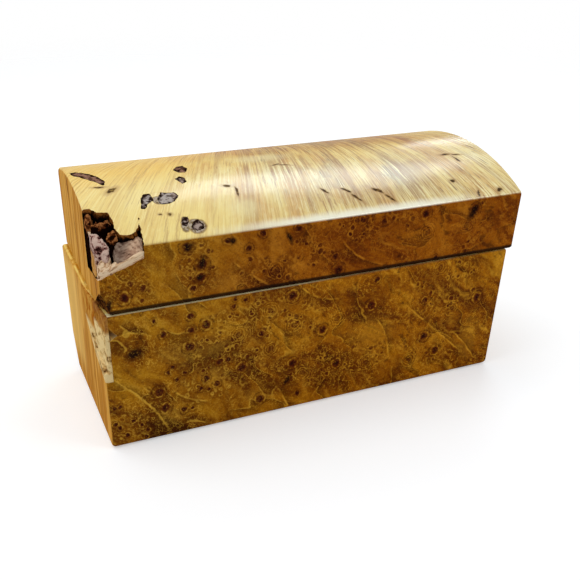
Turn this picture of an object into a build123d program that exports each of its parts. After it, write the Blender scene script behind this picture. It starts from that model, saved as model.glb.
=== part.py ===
from build123d import *
import os

# Dice box with a hinged lid, made from one block of burl with some of its bark left on.
# Millimetres. The origin is the middle of the underside, +X runs to the right end,
# -Y is the front and +Z is up. The lid is closed.

# The block
block_length = 150.0
block_depth = 62.0
base_height = 49.0
lid_front_height = 21.0
lid_crown_height = 31.0
lid_back_height = 27.6
lid_crown_back = 8.0
closing_gap = 0.2

# The lid sits a little to the right, and its left end is sawn slightly out of square
lid_right_overhang = 2.0
lid_left_inset_front = 0.9
lid_left_inset_back = 1.8

# Sanded edges, and the wane at the base's back left foot
front_top_radius = 2.0
back_top_radius = 3.5
lid_edge_radius = 0.9
lid_under_chamfer = 0.6
base_corner_radius = 1.0
base_foot_radius = 2.2
rim_radius = 0.9
wane_height = 16.0
wane_depth = 8.0
wane_length = 36.0

# The split corner at the lid's lower front left: its reach to the right, back and up
split_right = 2.9
split_back = 11.5
split_up = 8.2

# The routed hollows and their felt pads
side_wall = 9.0
end_wall = 12.5
base_floor = 8.0
lid_hollow_depth = 11.0
hollow_corner_radius = 6.0
inner_rim_chamfer = 0.5
felt_thickness = 1.5
felt_clearance = 0.3

# Brass stop hinges let into the two rims at the back
hinge_from_end = 32.0
leaf_length = 26.0
leaf_width = 7.5
leaf_thickness = 1.4
leaf_corner_radius = 1.2
knuckle_count = 3
knuckle_diameter = 4.2
knuckle_gap = 0.15
knuckle_clearance = 0.25
pin_diameter = 2.0
pin_head_diameter = 3.0
pin_head_height = 0.8
pin_running_clearance = 0.04
mortise_clearance = 0.05

# Countersunk holes in each leaf for its small wood screws
hole_count = 2
hole_spacing = 14.0
hole_inset = 4.3
hole_diameter = 1.9
countersink_diameter = 3.5
countersink_angle = 90.0

# Disc magnets let into both rims at the front
magnet_diameter = 6.0
magnet_thickness = 3.0
magnet_from_end = 23.0
magnet_clearance = 0.05
magnet_recess = 0.1

# The void at the lid's front left corner, where bark grew into the block. The outline
# runs from the left end round to the front, as distances from that corner: to the
# right and to the back. Its floor rises to the right and falls to the back.
void_back_wall = [(-3.0, 17.2), (2.4, 16.4), (4.1, 14.4), (7.2, 13.8), (8.0, 10.4), (7.4, 7.2), (8.4, 4.6)]
void_tongue = [(8.4, 4.6), (11.3, 4.1), (15.7, 10.2)]
void_right_wall = [(15.7, 10.2), (15.0, 6.0), (14.3, 1.4), (14.0, -3.0)]
void_margin = 3.0
void_floor_height = 11.8
void_floor_rise = 0.36
void_floor_fall = 0.15

# The lumps of bark in the void: outline, height above the lid's rim at the outline's
# first point, and how much the top rises to the right and to the back
left_lump_outline = [(0.7, 0.7), (5.4, 0.9), (6.6, 4.4), (5.2, 8.8), (0.9, 9.6)]
left_lump_height = 14.6
left_lump_rise = (0.25, 0.75)
right_lump_outline = [(6.4, 0.5), (13.2, 0.4), (14.3, 4.4), (11.6, 6.2), (7.8, 5.2)]
right_lump_height = 19.0
right_lump_rise = (0.10, 0.35)
back_lump_outline = [(2.9, 10.6), (6.8, 9.9), (8.6, 12.4), (6.4, 15.2), (2.2, 14.2)]
back_lump_height = 23.2
back_lump_rise = (-0.20, 0.25)
lump_taper = 4.0

# The natural face down the base's front left corner, covered with a skin of bark. Its
# edge on the left end is given as distances back from the front and down from the rim.
natural_face_edge = [(27.4, -2.0), (24.6, 10.4), (13.4, 18.6), (0.4, 23.0)]
natural_face_depth = 1.6
bark_skin_thickness = 0.9
bark_skin_share = 0.86
chip_outline = [(1.4, 2.2), (5.0, 6.8), (2.8, 8.4), (1.6, 10.4)]
chip_depth = 4.0
chip_taper = 24.0

# Pockets of bark in the lid's top, sanded flush: outlines as distances from the lid's
# front left corner, to the right and to the back
pocket_outlines = [
    [(1.8, 43.6), (3.9, 43.9), (7.5, 40.2), (9.8, 35.8), (10.9, 31.2), (9.7, 29.2), (7.4, 32.8), (2.4, 39.6)],
    [(18.8, 18.8), (20.2, 20.8), (22.2, 20.7), (22.4, 17.0), (20.2, 15.3), (18.6, 13.5), (17.6, 13.8)],
    [(23.6, 17.7), (25.8, 20.6), (29.8, 20.0), (30.8, 18.1), (28.6, 15.4), (26.8, 14.4), (23.8, 14.7)],
    [(34.0, 35.3), (36.5, 38.2), (38.5, 38.4), (39.0, 34.9), (37.4, 31.8), (35.4, 32.4)],
    [(32.7, 28.2), (34.6, 29.7), (35.9, 28.0), (35.6, 25.5), (34.0, 24.4)],
    [(28.6, 8.3), (30.4, 8.0), (30.0, 6.0), (28.6, 4.4), (27.4, 5.0)],
    [(29.8, 3.2), (31.2, 5.9), (33.2, 6.7), (34.2, 4.8), (33.8, 2.7), (31.4, 2.3)],
]
pocket_depth = 1.6
pocket_crack = 0.2

# Places worked out from the sizes above
front = -block_depth / 2
back = block_depth / 2
base_left = -block_length / 2
base_right = block_length / 2
lid_bottom = base_height + closing_gap
lid_left = base_left + lid_left_inset_front
lid_right = base_right + lid_right_overhang
lid_skew = (lid_left_inset_back - lid_left_inset_front) / block_depth
hollow_length = block_length - 2 * end_wall
hollow_width = block_depth - 2 * side_wall
pin_y = back + knuckle_diameter / 2 + knuckle_clearance
pin_z = base_height + closing_gap / 2
knuckle_pitch = leaf_length / knuckle_count
magnet_y = front + side_wall / 2
hinge_middles = {"left": base_left + hinge_from_end, "right": base_right - hinge_from_end}
magnet_middles = {"left": base_left + magnet_from_end, "right": base_right - magnet_from_end}
rims = Plane.XY.offset(pin_z)


def on_lid(points):
    """Points measured from the lid's front left corner, in the part's frame."""
    return [(lid_left + right, front + to_back) for right, to_back in points]


def drawn_in(points, amount):
    """An outline's points, each moved that far towards the outline's middle."""
    middle = sum((Vector(*point) for point in points), Vector()) / len(points)
    return [Vector(*point) + (middle - Vector(*point)).normalized() * amount for point in points]


os.makedirs("parts", exist_ok=True)

# The lid's outer form: a domed profile run from end to end, its left end sawn off at a
# slight angle, its ends' edges rounded, its lower edge chamfered and one corner split off
with BuildPart() as lid_blank:
    with BuildSketch(Plane.YZ.offset(base_left)) as lid_profile:
        with BuildLine():
            Line((back, lid_bottom), (front, lid_bottom))
            Line((front, lid_bottom), (front, lid_bottom + lid_front_height))
            ThreePointArc(
                (front, lid_bottom + lid_front_height),
                (lid_crown_back, lid_bottom + lid_crown_height),
                (back, lid_bottom + lid_back_height),
            )
            Line((back, lid_bottom + lid_back_height), (back, lid_bottom))
        make_face()
        fillet(lid_profile.vertices().group_by(Axis.X)[0].sort_by(Axis.Y)[-1], front_top_radius)
        fillet(lid_profile.vertices().group_by(Axis.X)[-1].sort_by(Axis.Y)[-1], back_top_radius)
    extrude(amount=lid_right - base_left)
    split(bisect_by=Plane(origin=(lid_left, front, 0), z_dir=(1, -lid_skew, 0)), keep=Keep.TOP)
    under_edges = lid_blank.edges().group_by(Axis.Z)[0]
    fillet(lid_blank.edges().filter_by(Axis.X, reverse=True) - under_edges, lid_edge_radius)
    chamfer(lid_blank.edges().group_by(Axis.Z)[0], lid_under_chamfer)
    corner_split = Plane(
        origin=(lid_left + split_right, front, lid_bottom),
        z_dir=(split_back * split_up, split_right * split_up, split_right * split_back),
    )
    split(bisect_by=corner_split, keep=Keep.TOP)

# The base's outer form, with wane where the log's round side reaches its back left foot
with BuildPart() as base_blank:
    Box(block_length, block_depth, base_height, align=(Align.CENTER, Align.CENTER, Align.MIN))
    fillet(base_blank.edges().group_by(Axis.Z)[0], base_foot_radius)
    fillet(base_blank.edges().filter_by(Axis.Z), base_corner_radius)
    fillet(base_blank.edges().group_by(Axis.Z)[-1], rim_radius)
    wane = Plane(
        origin=(base_left, back, wane_height),
        x_dir=(wane_length, 0, -wane_height),
        z_dir=(wane_height * wane_depth, -wane_height * wane_length, wane_depth * wane_length),
    )
    split(bisect_by=wane, keep=Keep.TOP)

# The void left by ingrown bark, open to the lid's top, front and left end
with BuildPart() as lid_void:
    with BuildSketch(Plane.XY.offset(lid_bottom)):
        with BuildLine():
            Polyline(*on_lid(void_back_wall))
            Spline(*on_lid(void_tongue))
            Polyline(*on_lid(void_right_wall))
            Polyline(*on_lid([void_right_wall[-1], (-void_margin, -void_margin), void_back_wall[0]]))
        make_face()
    extrude(amount=lid_crown_height + void_margin)
    void_floor = Plane(
        origin=(lid_left, front, lid_bottom + void_floor_height),
        z_dir=(-void_floor_rise, void_floor_fall, 1),
    )
    split(bisect_by=void_floor, keep=Keep.TOP)


def lump(outline, height, rise):
    """A lump of bark with a sloping top, which stands on the void's floor."""
    corner = on_lid(outline)[0]
    with BuildPart() as bark:
        with BuildSketch(Plane.XY.offset(lid_bottom + void_floor_height / 2)):
            with BuildLine():
                Polyline(*on_lid(outline), close=True)
            make_face()
        extrude(amount=lid_crown_height, taper=lump_taper)
        slope = Plane(origin=(*corner, lid_bottom + height), z_dir=(-rise[0], -rise[1], 1))
        split(bisect_by=slope, keep=Keep.BOTTOM)
        add(lid_void, mode=Mode.INTERSECT)
    return bark.part


def natural_cut(depth, share):
    """What is missing in front of a natural face that deep, its edge at that share."""
    edge = [(front + v * share, base_height - w * share) for v, w in natural_face_edge]
    outside = front - void_margin
    with BuildPart() as cut:
        with BuildSketch(Plane.YZ.offset(base_left - void_margin)):
            with BuildLine():
                Polyline(*edge, (outside, edge[-1][1]), (outside, edge[0][1]), close=True)
            make_face()
        extrude(amount=depth + void_margin)
        run = edge[0][0] - front
        face = Plane(origin=(base_left + depth, front, base_height), z_dir=(run, depth, 0))
        split(bisect_by=face, keep=Keep.BOTTOM)
    return cut.part


def top_pockets(shrink):
    """Pockets at a constant depth below the lid's dome, drawn in by that much all round."""
    with BuildPart() as pockets:
        with BuildSketch(Plane.XY.offset(lid_bottom + lid_hollow_depth)):
            for outline in pocket_outlines:
                with BuildLine():
                    Polyline(*drawn_in(on_lid(outline), shrink), close=True)
                make_face()
        extrude(amount=lid_crown_height)
        add(lid_blank, mode=Mode.INTERSECT)
        add(lid_blank.part.moved(Location((0, 0, -pocket_depth))), mode=Mode.SUBTRACT)
    return pockets.part


# What is cut from the base's rim for its fittings: mortises for the leaves, open at the
# back, and blind bores for the magnets
with BuildPart() as base_recesses:
    for middle in hinge_middles.values():
        with BuildSketch(Plane.XY.offset(base_height)):
            with Locations((middle, back - leaf_width - mortise_clearance)):
                Rectangle(
                    leaf_length + 2 * mortise_clearance,
                    leaf_width + knuckle_diameter,
                    align=(Align.CENTER, Align.MIN),
                )
        extrude(amount=-leaf_thickness)
    with Locations(*[(middle, magnet_y, base_height) for middle in magnet_middles.values()]):
        Cylinder(
            magnet_diameter / 2 + magnet_clearance,
            magnet_thickness + magnet_recess,
            align=(Align.CENTER, Align.CENTER, Align.MAX),
        )
lid_recesses = mirror(base_recesses.part, about=rims)

# The base: routed out from above, with a natural face and a chip at its left end
with BuildPart() as base_block:
    add(base_blank)
    with BuildSketch(Plane.XY.offset(base_height)):
        RectangleRounded(hollow_length, hollow_width, hollow_corner_radius)
    extrude(amount=base_floor - base_height, mode=Mode.SUBTRACT)
    chamfer(base_block.faces().sort_by(Axis.Z)[-1].inner_wires()[0].edges(), inner_rim_chamfer)
    add(natural_cut(natural_face_depth + bark_skin_thickness, 1), mode=Mode.SUBTRACT)
    with BuildSketch(Plane.XZ.offset(-front)):
        with BuildLine():
            Polyline(
                (base_left - void_margin, base_height - chip_outline[0][1]),
                *[(base_left + right, base_height - down) for right, down in chip_outline],
                (base_left - void_margin, base_height - chip_outline[-1][1]),
                close=True,
            )
        make_face()
    extrude(amount=-chip_depth, taper=chip_taper, mode=Mode.SUBTRACT)
    add(base_recesses, mode=Mode.SUBTRACT)
base_block.part.label = "base_block"
export_step(base_block.part, "parts/base_block.step")

# The thin skin of bark left on the natural face
with BuildPart() as base_bark:
    add(natural_cut(natural_face_depth + bark_skin_thickness, 1))
    add(base_blank, mode=Mode.INTERSECT)
    add(natural_cut(natural_face_depth, bark_skin_share), mode=Mode.SUBTRACT)
base_bark.part.label = "base_bark"
export_step(base_bark.part, "parts/base_bark.step")

# The lid: routed out from below, with the void and the pockets that held bark
with BuildPart() as lid_block:
    add(lid_blank)
    with BuildSketch(Plane.XY.offset(lid_bottom)):
        RectangleRounded(hollow_length, hollow_width, hollow_corner_radius)
    extrude(amount=lid_hollow_depth, mode=Mode.SUBTRACT)
    chamfer(lid_block.faces().sort_by(Axis.Z)[0].inner_wires()[0].edges(), inner_rim_chamfer)
    add(lid_void, mode=Mode.SUBTRACT)
    add(top_pockets(0), mode=Mode.SUBTRACT)
    add(lid_recesses, mode=Mode.SUBTRACT)
lid_block.part.label = "lid_block"
export_step(lid_block.part, "parts/lid_block.step")

# The bark in the void and in the pockets
left_bark_lump = lump(left_lump_outline, left_lump_height, left_lump_rise)
left_bark_lump.label = "left_bark_lump"
export_step(left_bark_lump, "parts/left_bark_lump.step")

right_bark_lump = lump(right_lump_outline, right_lump_height, right_lump_rise)
right_bark_lump.label = "right_bark_lump"
export_step(right_bark_lump, "parts/right_bark_lump.step")

back_bark_lump = lump(back_lump_outline, back_lump_height, back_lump_rise)
back_bark_lump.label = "back_bark_lump"
export_step(back_bark_lump, "parts/back_bark_lump.step")

bark_pockets = top_pockets(pocket_crack)
bark_pockets.label = "bark_pockets"
export_step(bark_pockets, "parts/bark_pockets.step")

# Felt pads glued to the floors of the two hollows
with BuildPart() as base_lining:
    with BuildSketch(Plane.XY.offset(base_floor)):
        RectangleRounded(
            hollow_length - 2 * felt_clearance,
            hollow_width - 2 * felt_clearance,
            hollow_corner_radius - felt_clearance,
        )
    extrude(amount=felt_thickness)
base_lining.part.label = "base_lining"
export_step(base_lining.part, "parts/base_lining.step")

with BuildPart() as lid_lining:
    with BuildSketch(Plane.XY.offset(lid_bottom + lid_hollow_depth)):
        RectangleRounded(
            hollow_length - 2 * felt_clearance,
            hollow_width - 2 * felt_clearance,
            hollow_corner_radius - felt_clearance,
        )
    extrude(amount=-felt_thickness)
lid_lining.part.label = "lid_lining"
export_step(lid_lining.part, "parts/lid_lining.step")


def leaf(middle, first_knuckle, bore_diameter):
    """A hinge leaf flush with the base's rim, with every second knuckle from the first."""
    first = middle - (knuckle_count - 1) / 2 * knuckle_pitch
    knuckles = [first + count * knuckle_pitch for count in range(first_knuckle, knuckle_count, 2)]
    first_hole = middle - (hole_count - 1) / 2 * hole_spacing
    holes = [(first_hole + count * hole_spacing, back - hole_inset, base_height) for count in range(hole_count)]
    with BuildPart() as brass:
        with BuildSketch(Plane.XY.offset(base_height - leaf_thickness)) as plate:
            with Locations((middle, back)):
                Rectangle(leaf_length, leaf_width, align=(Align.CENTER, Align.MAX))
            fillet(plate.vertices().group_by(Axis.Y)[0], leaf_corner_radius)
            with Locations(*[(knuckle, back) for knuckle in knuckles]):
                Rectangle(knuckle_pitch - knuckle_gap, pin_y - back, align=(Align.CENTER, Align.MIN))
        extrude(amount=leaf_thickness)
        with Locations(*[(knuckle, pin_y, pin_z) for knuckle in knuckles]):
            Cylinder(knuckle_diameter / 2, knuckle_pitch - knuckle_gap, rotation=(0, 90, 0))
        with Locations((middle, pin_y, pin_z)):
            Cylinder(bore_diameter / 2, 2 * leaf_length, rotation=(0, 90, 0), mode=Mode.SUBTRACT)
        with Locations(*holes):
            CounterSinkHole(
                radius=hole_diameter / 2,
                counter_sink_radius=countersink_diameter / 2,
                counter_sink_angle=countersink_angle,
            )
    return brass.part


def hinge_pin(middle):
    """A pin with a flat head at each end."""
    head_middle = (leaf_length + pin_head_height) / 2
    with BuildPart() as pin:
        with Locations((middle, pin_y, pin_z)):
            Cylinder(pin_diameter / 2, leaf_length, rotation=(0, 90, 0))
        with Locations(*[(middle + side * head_middle, pin_y, pin_z) for side in (-1, 1)]):
            Cylinder(pin_head_diameter / 2, pin_head_height, rotation=(0, 90, 0))
    return pin.part


def magnet(middle):
    """A disc magnet, sunk a little below the base's rim."""
    with BuildPart() as disc:
        with Locations((middle, magnet_y, base_height - magnet_recess)):
            Cylinder(
                magnet_diameter / 2,
                magnet_thickness,
                align=(Align.CENTER, Align.CENTER, Align.MAX),
            )
    return disc.part


# The fittings of the two ends. The lid's leaves and magnets mirror the base's.
for end in ("left", "right"):
    middle = hinge_middles[end]
    fittings = {
        "base_leaf": leaf(middle, 0, pin_diameter),
        "lid_leaf": mirror(leaf(middle, 1, pin_diameter + 2 * pin_running_clearance), about=rims),
        "hinge_pin": hinge_pin(middle),
        "base_magnet": magnet(magnet_middles[end]),
        "lid_magnet": mirror(magnet(magnet_middles[end]), about=rims),
    }
    for piece, shape in fittings.items():
        shape.label = f"{end}_{piece}"
        export_step(shape, f"parts/{end}_{piece}.step")
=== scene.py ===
import functools
import math

import bmesh
import bpy
from mathutils import Matrix, Vector, noise


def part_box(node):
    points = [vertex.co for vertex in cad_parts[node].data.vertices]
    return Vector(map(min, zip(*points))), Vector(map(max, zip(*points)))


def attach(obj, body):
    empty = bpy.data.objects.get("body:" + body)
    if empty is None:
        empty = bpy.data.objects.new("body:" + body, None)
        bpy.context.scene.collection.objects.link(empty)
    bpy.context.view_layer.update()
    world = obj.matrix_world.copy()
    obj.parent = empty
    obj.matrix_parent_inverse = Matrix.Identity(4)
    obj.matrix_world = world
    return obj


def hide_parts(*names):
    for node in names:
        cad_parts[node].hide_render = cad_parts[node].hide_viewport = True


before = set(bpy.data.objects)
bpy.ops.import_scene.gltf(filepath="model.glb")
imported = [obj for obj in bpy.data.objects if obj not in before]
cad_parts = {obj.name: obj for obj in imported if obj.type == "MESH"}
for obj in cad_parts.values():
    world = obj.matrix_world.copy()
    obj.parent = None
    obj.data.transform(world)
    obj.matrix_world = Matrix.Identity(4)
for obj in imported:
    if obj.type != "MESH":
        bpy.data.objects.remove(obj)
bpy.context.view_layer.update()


# ---- The set: a pale floor, soft lamps and the camera ----
# The box stands on a plain pale floor that fades into a white background. A large soft lamp
# overhead lights the lid's top, and weaker ones stand behind, in front and on the left.

def colour(red, green, blue):
    """A colour written the usual way, from 0 to 255, as the shader's linear light."""
    parts = [part / 255 for part in (red, green, blue)]
    linear = [part / 12.92 if part < 0.04 else ((part + 0.055) / 1.055) ** 2.4 for part in parts]
    return (*linear, 1)


class Field:
    """A number, vector or colour that varies over a surface. Operators on it add nodes."""

    def __init__(self, tree, socket=None):
        self.tree = tree
        self.socket = socket

    def node(self, kind, settings=None, inputs=None, output=0):
        """A new node: its settings first, then the values or links of its sockets."""
        made = self.tree.nodes.new("ShaderNode" + kind)
        for name, value in (settings or {}).items():
            if name == "stops":
                ramp = made.color_ramp.elements
                while len(ramp) < len(value):
                    ramp.new(1)
                for element, (place, hue) in zip(ramp, value):
                    element.position = place
                    element.color = hue
            else:
                setattr(made, name, value)
        for name, value in (inputs or {}).items():
            if isinstance(value, Field):
                self.tree.links.new(value.socket, made.inputs[name])
            else:
                made.inputs[name].default_value = value
        return Field(self.tree, made.outputs[output])

    def into(self, shader, name):
        """Drives one of a shader's sockets with this."""
        self.tree.links.new(self.socket, shader.inputs[name])

    def combine(self, operation, first, second):
        sides = (first, second)
        wide = any(isinstance(side, Field) and side.socket.type != "VALUE" for side in sides)
        if wide:
            sides = [(side,) * 3 if isinstance(side, (int, float)) else side for side in sides]
        kind = "VectorMath" if wide else "Math"
        return self.node(kind, {"operation": operation}, dict(enumerate(sides)))

    def __add__(self, other):
        return self.combine("ADD", self, other)

    def __radd__(self, other):
        return self.combine("ADD", other, self)

    def __sub__(self, other):
        return self.combine("SUBTRACT", self, other)

    def __rsub__(self, other):
        return self.combine("SUBTRACT", other, self)

    def __mul__(self, other):
        return self.combine("MULTIPLY", self, other)

    def __rmul__(self, other):
        return self.combine("MULTIPLY", other, self)

    def __truediv__(self, other):
        return self.combine("DIVIDE", self, other)

    def __abs__(self):
        return self.node("Math", {"operation": "ABSOLUTE"}, {0: self})

    def more(self, other):
        """The larger of the two."""
        return self.combine("MAXIMUM", self, other)

    def less(self, other):
        """The smaller of the two."""
        return self.combine("MINIMUM", self, other)

    def fraction(self):
        return self.node("Math", {"operation": "FRACT"}, {0: self})

    def length(self):
        return self.node("VectorMath", {"operation": "LENGTH"}, {0: self}, "Value")

    def away(self, point):
        """How far this place is from that point."""
        return self.node("VectorMath", {"operation": "DISTANCE"}, {0: self, 1: point}, "Value")

    def axis(self, letter):
        return self.node("SeparateXYZ", {}, {0: self}, letter)

    def part(self, name):
        """The red, green or blue part of a colour."""
        return self.node("SeparateColor", {}, {0: self}, name)

    def joined(self, *parts):
        """A place made from its three parts."""
        return self.node("CombineXYZ", {}, dict(enumerate(parts)))

    def on_piece(self):
        """Where each point of the surface is, in millimetres."""
        return self.node("TexCoord", {}, {}, "Object") * 1000

    def rise(self, low, high):
        """0 below low, 1 above high, with a smooth step between; falls if low is higher."""
        ends = {"From Min": min(low, high), "From Max": max(low, high)}
        step = self.node("MapRange", {"interpolation_type": "SMOOTHSTEP"}, {"Value": self, **ends})
        return step if low < high else 1 - step

    def noise(self, size, detail=2.0, roughness=0.5, output="Fac"):
        """Soft cloudy noise whose lumps are about that size, here in millimetres."""
        inputs = {"Vector": self, "Scale": 1 / size, "Detail": detail, "Roughness": roughness}
        return self.node("TexNoise", {}, inputs, output)

    def drift(self, size, detail, reach):
        """A soft wandering of this place, that long, whose lumps are about that size."""
        cloud = self.noise(size, detail, output="Color")
        return self.joined(*[(cloud.part(name) - 0.5) * reach for name in ("Red", "Green", "Blue")])

    def cells(self, size, output="Distance"):
        """Scattered cells about that size; their distance comes back in millimetres."""
        made = self.node("TexVoronoi", {}, {"Vector": self, "Scale": 1 / size}, output)
        return made * size if output == "Distance" else made

    def ramp(self, stops):
        """The colours at those stops, faded from one to the next."""
        return self.node("ValToRGB", {"stops": stops}, {0: self})

    def mix(self, other, share):
        """This colour where the share is 0 and the other where it is 1."""
        return self.node("Mix", {"data_type": "RGBA"}, {0: share, 6: self, 7: other}, 2)

    def shade(self, other, share=1.0):
        """This colour darkened by the other, as a stain darkens wood."""
        settings = {"data_type": "RGBA", "blend_type": "MULTIPLY"}
        return self.node("Mix", settings, {0: share, 6: self, 7: other}, 2)


def tint(field, shade):
    """A constant colour that other colours can be mixed into."""
    return field.node("Mix", {"data_type": "RGBA"}, {0: 0.0, 6: shade, 7: shade}, 2)


def material(name, constants):
    """A new material, its shader with those constant values, and a field to start from."""
    made = bpy.data.materials.new(name)
    made.use_nodes = True
    shader = made.node_tree.nodes["Principled BSDF"]
    for socket, value in constants.items():
        shader.inputs[socket].default_value = value
    return made, shader, Field(made.node_tree)


floor_size = 6.0
floor_whole_within = 0.35
floor_gone_beyond = 0.9
floor_lift = 0.37
pale_floor, floor_shader, floor_start = material("pale_floor", {
    "Base Color": colour(232, 234, 236), "Roughness": 0.9, "Specular IOR Level": 0.0,
    "Emission Strength": 1.0})
floor_reach = (floor_start.node("TexCoord", {}, {}, "Object") * (1, 1, 0)).length()
floor_reach.rise(floor_gone_beyond, floor_whole_within).into(floor_shader, "Alpha")
watched = floor_start.node("LightPath", {}, {}, "Is Camera Ray")
lift = tint(floor_start, (0, 0, 0, 1)).mix((floor_lift, floor_lift, floor_lift, 1), watched)
lift.into(floor_shader, "Emission Color")
floor_shape = bmesh.new()
bmesh.ops.create_grid(floor_shape, x_segments=1, y_segments=1, size=floor_size / 2)
floor_mesh = bpy.data.meshes.new("floor")
floor_shape.to_mesh(floor_mesh)
floor_mesh.materials.append(pale_floor)
floor = bpy.data.objects.new("floor", floor_mesh)
bpy.context.scene.collection.objects.link(floor)

white = (1, 1, 1, 1)
sky_strength = 0.46
background = bpy.data.worlds.new("white_background")
background.use_nodes = True
sky = background.node_tree
sky_light = sky.nodes["Background"]
sky_light.inputs["Color"].default_value = white
sky_light.inputs["Strength"].default_value = sky_strength
sky_start = Field(sky)
sky_seen = sky_start.node("Background", {}, {"Color": white, "Strength": 1.0})
ray_kinds = ("Is Camera Ray", "Is Glossy Ray", "Is Transmission Ray")
rays = [sky_start.node("LightPath", {}, {}, kind) for kind in ray_kinds]
seen = rays[0].more(rays[1]).more(rays[2])
lighting = Field(sky, sky_light.outputs[0])
blend = sky_start.node("MixShader", {}, {0: seen, 1: lighting, 2: sky_seen})
blend.into(sky.nodes["World Output"], "Surface")
bpy.context.scene.world = background
bpy.context.scene.view_settings.view_transform = "Standard"

box_middle = Vector((0.0, 0.0, 0.04))


def lamp(name, place, width, height, power, hue=(1, 1, 1)):
    """A soft lamp that faces the box and isn't itself in view."""
    light = bpy.data.lights.new(name, "AREA")
    light.shape = "RECTANGLE"
    light.size = width
    light.size_y = height
    light.energy = power
    light.color = hue
    holder = bpy.data.objects.new(name, light)
    holder.location = place
    holder.rotation_euler = (Vector(place) - box_middle).to_track_quat("Z", "Y").to_euler()
    holder.visible_camera = False
    bpy.context.scene.collection.objects.link(holder)


lamp("overhead", (-0.32, 0.12, 0.92), 0.6, 0.6, 2.7)
lamp("window_behind", (0.43, 0.57, 0.77), 0.46, 0.26, 1.25, (0.84, 0.94, 1.0))
lamp("far_window", (0.66, 0.75, 0.40), 0.16, 0.1, 0.3, (0.8, 0.92, 1.0))
lamp("front_right", (0.55, -0.47, 0.78), 0.3, 0.3, 1.1)
lamp("left_fill", (-0.90, -0.10, 0.35), 0.6, 0.6, 1.25)

camera_turn = math.radians(-23.51)
camera_tilt = math.radians(30.58)
camera_roll = math.radians(1.11)
camera_place = Vector((-0.1092, -0.2340, 0.1559))
image_width = 580
focal_length = 760.7
view_centre = (264.9, 354.1)
camera_data = bpy.data.cameras.new("camera")
camera_data.sensor_width = 36
camera_data.lens = focal_length / image_width * camera_data.sensor_width
camera_data.shift_x = (image_width / 2 - view_centre[0]) / image_width
camera_data.shift_y = (view_centre[1] - image_width / 2) / image_width
camera_data.clip_start = 0.01
camera = bpy.data.objects.new("camera", camera_data)
turn = Matrix.Rotation(camera_turn, 4, "Z") @ Matrix.Rotation(math.pi / 2 - camera_tilt, 4, "X")
camera.matrix_world = Matrix.Translation(camera_place) @ turn @ Matrix.Rotation(camera_roll, 4, "Z")
bpy.context.scene.collection.objects.link(camera)
bpy.context.scene.camera = camera


# ---- The base and the burl ----
# Base and lid are sawn from one block of burl wood, routed out, oiled and polished. Its eyes
# and swirls show on the front and back, its streaks fan out over the top, and growth lines
# run down the ends. Places and sizes in the figure are in millimetres.

def dress(node, made):
    """Gives a CAD piece its material."""
    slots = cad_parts[node].data.materials
    slots.clear()
    slots.append(made)


burl, burl_shader, start = material("burl", {
    "Roughness": 0.3, "Specular IOR Level": 0.0, "Coat Roughness": 0.2, "Coat IOR": 1.75})
place = start.on_piece()
facing = start.node("TexCoord", {}, {}, "Normal")
x, y, z = [place.axis(letter) for letter in "XYZ"]
front_y = -31
wide_warp = place.drift(28, 1.5, 15)
fine_warp = place.drift(6, 2.0, 4)
tiny_warp = place.drift(1.8, 2.0, 1.6)

olive = colour(184, 126, 20)
amber = colour(160, 100, 10)
brown = colour(116, 62, 4)
deep_brown = colour(72, 32, 2)
honey = colour(228, 176, 58)
maroon = colour(82, 26, 10)
eye_black = colour(30, 10, 6)

# Eyes that are easy to tell apart have their own places on the front, listed by the eye's
# size: how far each is to the right and up. So have the centres of the swirls.
eyes = {
    0.8: ((-32, 45.2), (-31.3, 47.6), (-28, 46.9), (-58.4, 44.9), (-54.7, 25.4), (-52.1, 22.2),
          (-49.3, 24.1), (-53.2, 27.1), (-73, 15.9), (-71.4, 16.1), (-73.3, 9.6), (-72, 8),
          (-69.6, 4.7), (-64.8, 7.2), (-62.7, 5), (-63.3, 2.2), (-67.4, 9.5), (-43.9, 16.5),
          (-41.1, 15.9), (-47, 9.7), (43.6, 50.6)),
    1.1: ((-45.5, 53.7), (-33.9, 68), (-9.9, 68.6), (12.9, 68.3), (21.1, 66.7), (-26.8, 64.3),
          (-22.3, 68.6), (3.8, 56.9), (-46.6, 39.4), (-55.7, 39.6), (-22.2, 33.3), (-37.1, 25.6),
          (-34.2, 26), (-41.9, 20.3), (-38.2, 17.3), (-49.8, 9.9), (41.6, 34.3), (20.3, 45.9),
          (-46.7, 44.5), (-61.1, 56.8), (-8.2, 6.2)),
    1.6: ((-47.1, 67.8), (-42.8, 57.2), (-41.4, 40.4), (-47.4, 33.4), (0.5, 30.3), (-58.2, 18.7),
          (-56.3, 12), (-29.4, 21.7), (6.8, 15.3), (-10.3, 19.1), (43.2, 19), (49.1, 11.9),
          (64.6, 31.3), (37.2, 67.4), (19.1, 36.3), (-67, 54.3), (5.2, 52.1), (-22.3, 7.4),
          (-42.2, 61.3), (57.4, 66.4), (-11.3, 45.3)),
}
swirls = ((-18.6, 26.8), (-11.3, 45.3), (-10.4, 34), (-30.4, 34.4), (-19, 41.2), (-6.4, 14.4),
          (19.2, 13.1), (6.1, 33.4), (38, 10.2), (54.2, 28.7), (46.4, 46.3), (38.8, 60.5),
          (54.8, 61), (-17.4, 55.5), (64.6, 31.3))
swirl_size = 4.2
slab = start.joined(x, (y - front_y) * 0.5, z)
wander = slab + tiny_warp * 0.9 + fine_warp * 0.2


def least(fields):
    """The smallest of several."""
    return functools.reduce(Field.less, fields)


def nearest(spots):
    """How far it is to the nearest of those spots on the front."""
    return least(wander.away((spot_x, 0, spot_z)) for spot_x, spot_z in spots)


flat_front = start.joined(x, z, (y - front_y) * 0.3) + tiny_warp * 0.8 + fine_warp * 0.25


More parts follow.
